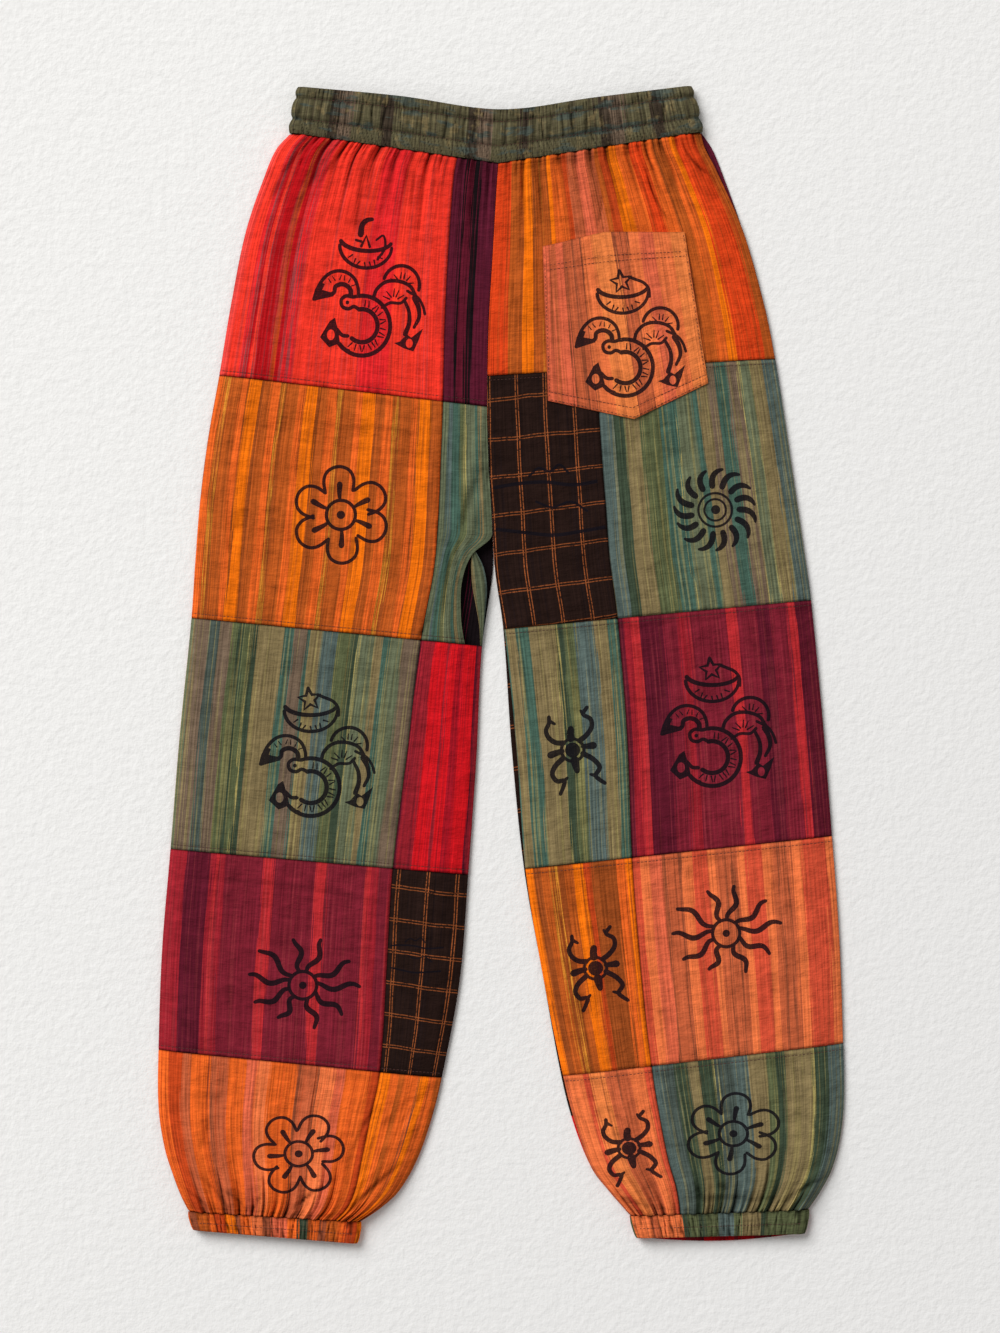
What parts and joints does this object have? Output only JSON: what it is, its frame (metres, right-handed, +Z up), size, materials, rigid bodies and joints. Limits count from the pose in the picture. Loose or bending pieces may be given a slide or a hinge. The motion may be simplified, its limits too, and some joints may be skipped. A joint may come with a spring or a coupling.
{
  "type": "drawstring trousers",
  "caption": "Patchwork cotton trousers lying flat, back up: elastic waistband, full legs gathered into ankle cuffs, patch pocket.",
  "frame": {"origin": "middle of the footprint, on the surface that the trousers lie on", "axes": "+Y along the garment from the cuffs to the waistband, +X across it with the pocket on the +X side, +Z up out of the surface, with the back of the garment up"},
  "size_m": [0.5952, 1.0025, 0.0144],
  "materials": {
    "red_stripe": "washed handloom cotton, matt",
    "marigold_stripe": "washed handloom cotton, matt",
    "green_stripe": "washed handloom cotton, matt",
    "maroon_stripe": "washed handloom cotton, matt",
    "peach_stripe": "washed handloom cotton, matt",
    "orange_stripe": "washed handloom cotton, matt",
    "crimson_stripe": "washed handloom cotton, matt",
    "plum_cotton": "washed handloom cotton, matt",
    "dark_check": "washed handloom cotton, matt",
    "olive_band": "gathered cotton over elastic, matt",
    "front_cotton": "washed handloom cotton, matt"
  },
  "bodies": {
    "root": {"waistband": "olive_band", "left_outer_1": "red_stripe", "left_outer_2": "marigold_stripe", "left_outer_3": "green_stripe", "left_outer_4": "maroon_stripe", "left_outer_5": "peach_stripe", "left_inner_1": "plum_cotton", "left_inner_2": "green_stripe", "left_inner_3": "crimson_stripe", "left_inner_4": "dark_check", "left_inner_5": "orange_stripe", "right_yoke": "orange_stripe", "right_outer_2": "green_stripe", "right_outer_3": "maroon_stripe", "right_outer_4": "peach_stripe", "right_outer_5": "green_stripe", "right_inner_2": "dark_check", "right_inner_3": "green_stripe", "right_inner_4": "marigold_stripe", "right_inner_5": "peach_stripe", "gusset": "green_stripe", "pocket": "peach_stripe", "cuff_left": "peach_stripe", "cuff_right": "green_stripe", "front_left": "front_cotton", "front_right": "front_cotton"}
  },
  "joints": []
}
